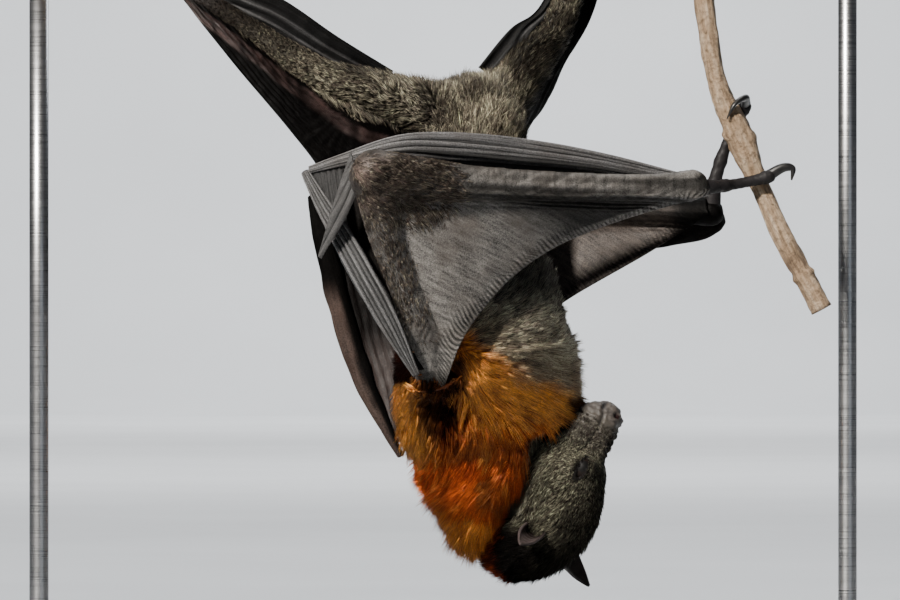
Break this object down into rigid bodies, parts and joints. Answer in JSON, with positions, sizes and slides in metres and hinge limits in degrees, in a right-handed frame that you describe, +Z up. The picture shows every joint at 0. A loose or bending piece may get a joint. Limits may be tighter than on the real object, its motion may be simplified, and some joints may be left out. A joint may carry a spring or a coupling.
{
  "type": "fruit bat",
  "caption": "Life-size grey-headed fruit bat hanging by its feet from a branch, wings folded, thumbs round a side twig, head turned aside, on a plain rod display stand.",
  "frame": {"origin": "centre of the stand base's underside", "axes": "+Z up, +X from the bat's back to its belly, -Y to the bat's left side, which faces the viewer"},
  "size_m": [0.4, 0.18, 0.4137],
  "materials": {
    "grey_fur": "dense matt fur, dark grey with pale tips",
    "rufous_fur": "long soft fur, bright rufous orange",
    "face_fur": "short dark fur, grizzled greenish grey",
    "bare_skin": "dark bare skin of ears and feet, slightly waxy",
    "wing_membrane": "thin dark grey-brown skin with fine wrinkles, low sheen",
    "claw_horn": "black polished horn",
    "eye": "wet dark brown",
    "branch_bark": "dry pale bark, matt",
    "stand_base": "dark stained wood, satin",
    "stand_steel": "brushed"
  },
  "bodies": {
    "root": {"belly": "grey_fur", "chest": "grey_fur", "ear_left": "bare_skin", "ear_right": "bare_skin", "eye_left": "eye", "eye_right": "eye", "foot_left": "bare_skin", "foot_right": "bare_skin", "head": "face_fur", "leg_left_membrane": "wing_membrane", "leg_left_shin": "grey_fur", "leg_left_thigh": "grey_fur", "leg_right_membrane": "wing_membrane", "leg_right_shin": "grey_fur", "leg_right_thigh": "grey_fur", "neck": "rufous_fur", "perch_branch": "branch_bark", "perch_twig": "branch_bark", "rump": "grey_fur", "stand_base": "stand_base", "stand_rod_left": "stand_steel", "stand_rod_right": "stand_steel", "wing_left_fingers": "wing_membrane", "wing_left_flank_membrane": "wing_membrane", "wing_left_fore_membrane": "wing_membrane", "wing_left_forearm": "wing_membrane", "wing_left_palm_membrane": "wing_membrane", "wing_left_pointed_fold": "wing_membrane", "wing_left_thumb": "wing_membrane", "wing_left_thumb_claw": "claw_horn", "wing_left_tip": "wing_membrane", "wing_left_upper_arm": "grey_fur", "wing_left_wrist": "wing_membrane", "wing_right_fingers": "wing_membrane", "wing_right_flank_membrane": "wing_membrane", "wing_right_fore_membrane": "wing_membrane", "wing_right_forearm": "wing_membrane", "wing_right_thumb": "wing_membrane", "wing_right_thumb_claw": "claw_horn", "wing_right_tip": "wing_membrane", "wing_right_tip_membrane": "wing_membrane", "wing_right_upper_arm": "grey_fur", "wing_right_wrist": "wing_membrane"}
  },
  "joints": []
}
